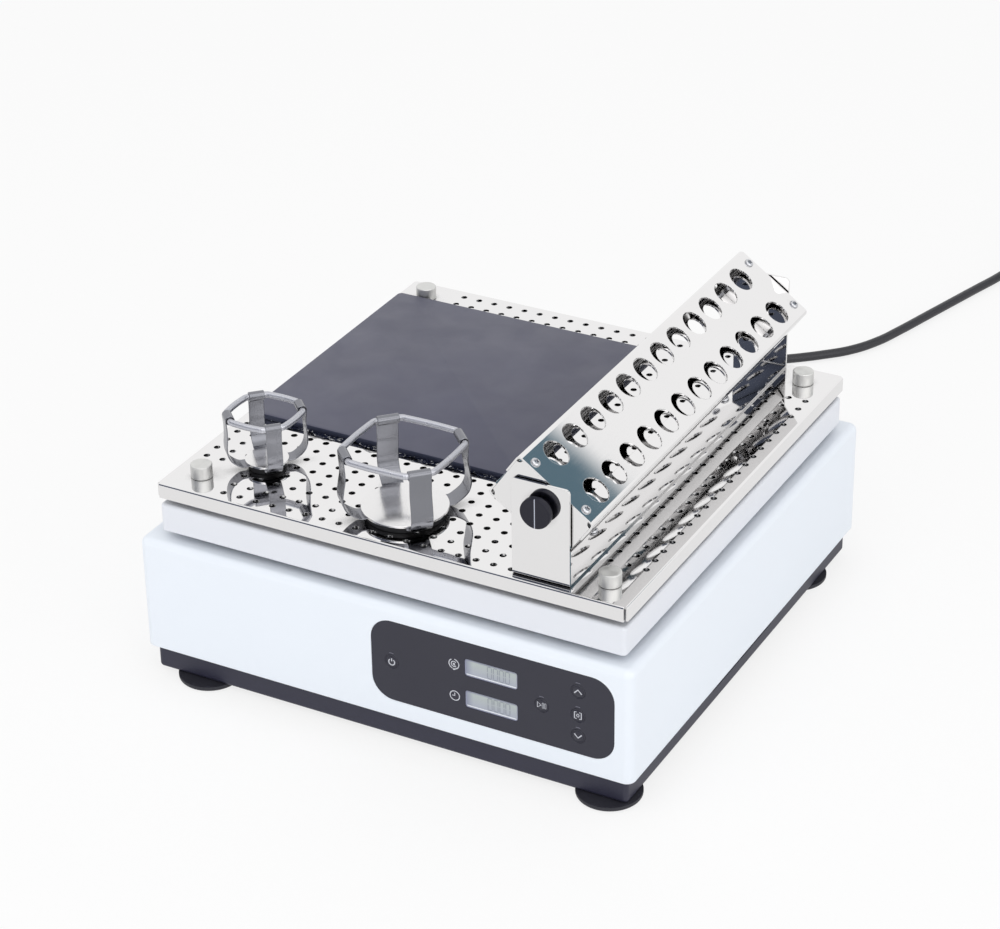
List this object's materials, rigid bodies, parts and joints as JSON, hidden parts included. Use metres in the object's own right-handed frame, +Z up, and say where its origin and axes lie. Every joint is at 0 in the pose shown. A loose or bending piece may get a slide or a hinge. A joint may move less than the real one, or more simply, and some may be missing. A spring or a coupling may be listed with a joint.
{
  "type": "orbital shaker",
  "caption": "Benchtop orbital shaker: white housing with a control panel, orbiting perforated steel tray, spring flask clamps, non-slip mat, tilting tube rack and mains cord.",
  "frame": {"origin": "on the bench under the middle of the housing", "axes": "+X right, +Y from the control panel to the back, +Z up"},
  "size_m": [0.406, 0.9463, 0.2212],
  "materials": {
    "white_paint": "satin",
    "grey_paint": "satin",
    "dark_paint": "satin",
    "foot_rubber": "matte",
    "panel_film": "matte",
    "display": "gloss",
    "circuit_board": "satin",
    "zinc_steel": "satin",
    "machined_steel": "satin",
    "cast_aluminium": "satin",
    "motor_case": "satin",
    "belt_rubber": "matte",
    "polished_steel": "polished",
    "brushed_steel": "brushed",
    "spring_steel": "brushed",
    "mat_rubber": "matte",
    "black_plastic": "satin",
    "knob_plastic": "gloss",
    "cord_pvc": "satin"
  },
  "bodies": {
    "base": {"housing_cover": "white_paint", "base_pan": "dark_paint", "feet": "foot_rubber", "foot_screws": "zinc_steel", "chassis_plate": "zinc_steel", "control_panel": "panel_film", "lcd_modules": "display", "control_board": "circuit_board", "power_supply": "cast_aluminium", "drive_motor": "motor_case", "drive_belt": "belt_rubber", "bearing_housing": "cast_aluminium", "main_bearings": "machined_steel", "idler_posts": "cast_aluminium", "cable_gland": "black_plastic", "switch_bezel": "black_plastic", "mains_cord": "cord_pvc", "cord_coil": "cord_pvc", "cord_tie": "black_plastic", "mains_plug": "cord_pvc"},
    "crank": {"drive_crank": "machined_steel", "drive_pulley": "cast_aluminium", "counterweight": "machined_steel"},
    "motor_rotor": {"motor_pulley": "cast_aluminium"},
    "idler_1": {"idler_crank_1": "machined_steel"},
    "idler_2": {"idler_crank_2": "machined_steel"},
    "idler_3": {"idler_crank_3": "machined_steel"},
    "idler_4": {"idler_crank_4": "machined_steel"},
    "platform": {"table_plate": "grey_paint", "table_hubs": "cast_aluminium", "table_bearings": "machined_steel", "tray_spacers": "zinc_steel", "tray": "polished_steel", "mat": "mat_rubber", "clamp_large_base": "black_plastic", "clamp_large_disc": "brushed_steel", "clamp_large_legs": "spring_steel", "clamp_large_ring": "spring_steel", "clamp_small_base": "black_plastic", "clamp_small_disc": "brushed_steel", "clamp_small_legs": "spring_steel", "clamp_small_ring": "spring_steel", "accessory_screws": "zinc_steel", "rack_frame": "polished_steel"},
    "screw_1": {"thumb_screw_1": "brushed_steel"},
    "screw_2": {"thumb_screw_2": "brushed_steel"},
    "screw_3": {"thumb_screw_3": "brushed_steel"},
    "screw_4": {"thumb_screw_4": "brushed_steel"},
    "rack": {"rack_top": "polished_steel", "rack_bottom": "polished_steel", "rack_ends": "brushed_steel", "rack_screws": "zinc_steel"},
    "knob_front": {"rack_knob_front": "knob_plastic"},
    "knob_rear": {"rack_knob_rear": "knob_plastic"},
    "key_power_body": {"key_power": "panel_film"},
    "key_start_body": {"key_start": "panel_film"},
    "key_up_body": {"key_up": "panel_film"},
    "key_enter_body": {"key_enter": "panel_film"},
    "key_down_body": {"key_down": "panel_film"},
    "rocker": {"mains_switch": "knob_plastic"}
  },
  "joints": [
    {"name": "crank_spin", "type": "hinge", "parent": "base", "child": "crank", "pos_m": [0, 0, 0.06], "axis": [0, 0, 1], "continuous": true},
    {"name": "table_orbit", "type": "hinge", "parent": "crank", "child": "platform", "pos_m": [0.003, -0.004, 0.112], "axis": [0, 0, 1], "continuous": true},
    {"name": "idler_1_spin", "type": "hinge", "parent": "base", "child": "idler_1", "pos_m": [0.105, 0.105, 0.07], "axis": [0, 0, 1], "continuous": true},
    {"name": "idler_2_spin", "type": "hinge", "parent": "base", "child": "idler_2", "pos_m": [-0.105, 0.105, 0.07], "axis": [0, 0, 1], "continuous": true},
    {"name": "idler_3_spin", "type": "hinge", "parent": "base", "child": "idler_3", "pos_m": [-0.105, -0.105, 0.07], "axis": [0, 0, 1], "continuous": true},
    {"name": "idler_4_spin", "type": "hinge", "parent": "base", "child": "idler_4", "pos_m": [0.105, -0.105, 0.07], "axis": [0, 0, 1], "continuous": true},
    {"name": "motor_spin", "type": "hinge", "parent": "base", "child": "motor_rotor", "pos_m": [-0.09, 0.03, 0.065], "axis": [0, 0, 1], "continuous": true},
    {"name": "thumb_screw_1_turn", "type": "hinge", "parent": "platform", "child": "screw_1", "pos_m": [0.147, 0.14, 0.145], "axis": [0, 0, 1], "continuous": true},
    {"name": "thumb_screw_2_turn", "type": "hinge", "parent": "platform", "child": "screw_2", "pos_m": [-0.141, 0.14, 0.145], "axis": [0, 0, 1], "continuous": true},
    {"name": "thumb_screw_3_turn", "type": "hinge", "parent": "platform", "child": "screw_3", "pos_m": [-0.141, -0.148, 0.145], "axis": [0, 0, 1], "continuous": true},
    {"name": "thumb_screw_4_turn", "type": "hinge", "parent": "platform", "child": "screw_4", "pos_m": [0.147, -0.148, 0.145], "axis": [0, 0, 1], "continuous": true},
    {"name": "rack_tilt", "type": "hinge", "parent": "platform", "child": "rack", "pos_m": [0.109, -0.004, 0.1915], "axis": [0, 1, 0], "range_deg": [-35, 55]},
    {"name": "rack_knob_front_turn", "type": "hinge", "parent": "rack", "child": "knob_front", "pos_m": [0.109, -0.166, 0.1915], "axis": [0, 1, 0], "continuous": true},
    {"name": "rack_knob_rear_turn", "type": "hinge", "parent": "rack", "child": "knob_rear", "pos_m": [0.109, 0.158, 0.1915], "axis": [0, 1, 0], "continuous": true},
    {"name": "key_power_press", "type": "slide", "parent": "base", "child": "key_power_body", "axis": [0, 1, 0], "range_m": [0, 0.0005], "stiffness_N_per_m": 3000},
    {"name": "key_start_press", "type": "slide", "parent": "base", "child": "key_start_body", "axis": [0, 1, 0], "range_m": [0, 0.0005], "stiffness_N_per_m": 3000},
    {"name": "key_up_press", "type": "slide", "parent": "base", "child": "key_up_body", "axis": [0, 1, 0], "range_m": [0, 0.0005], "stiffness_N_per_m": 3000},
    {"name": "key_enter_press", "type": "slide", "parent": "base", "child": "key_enter_body", "axis": [0, 1, 0], "range_m": [0, 0.0005], "stiffness_N_per_m": 3000},
    {"name": "key_down_press", "type": "slide", "parent": "base", "child": "key_down_body", "axis": [0, 1, 0], "range_m": [0, 0.0005], "stiffness_N_per_m": 3000},
    {"name": "mains_switch_rock", "type": "hinge", "parent": "base", "child": "rocker", "pos_m": [-0.112, 0.174, 0.045], "axis": [1, 0, 0], "range_deg": [-16, 0]}
  ],
  "couplings": [
    {"joint": "table_orbit", "follows": "crank_spin", "ratio": -1},
    {"joint": "idler_1_spin", "follows": "crank_spin", "ratio": 1},
    {"joint": "idler_2_spin", "follows": "crank_spin", "ratio": 1},
    {"joint": "idler_3_spin", "follows": "crank_spin", "ratio": 1},
    {"joint": "idler_4_spin", "follows": "crank_spin", "ratio": 1},
    {"joint": "motor_spin", "follows": "crank_spin", "ratio": 2.6667}
  ]
}
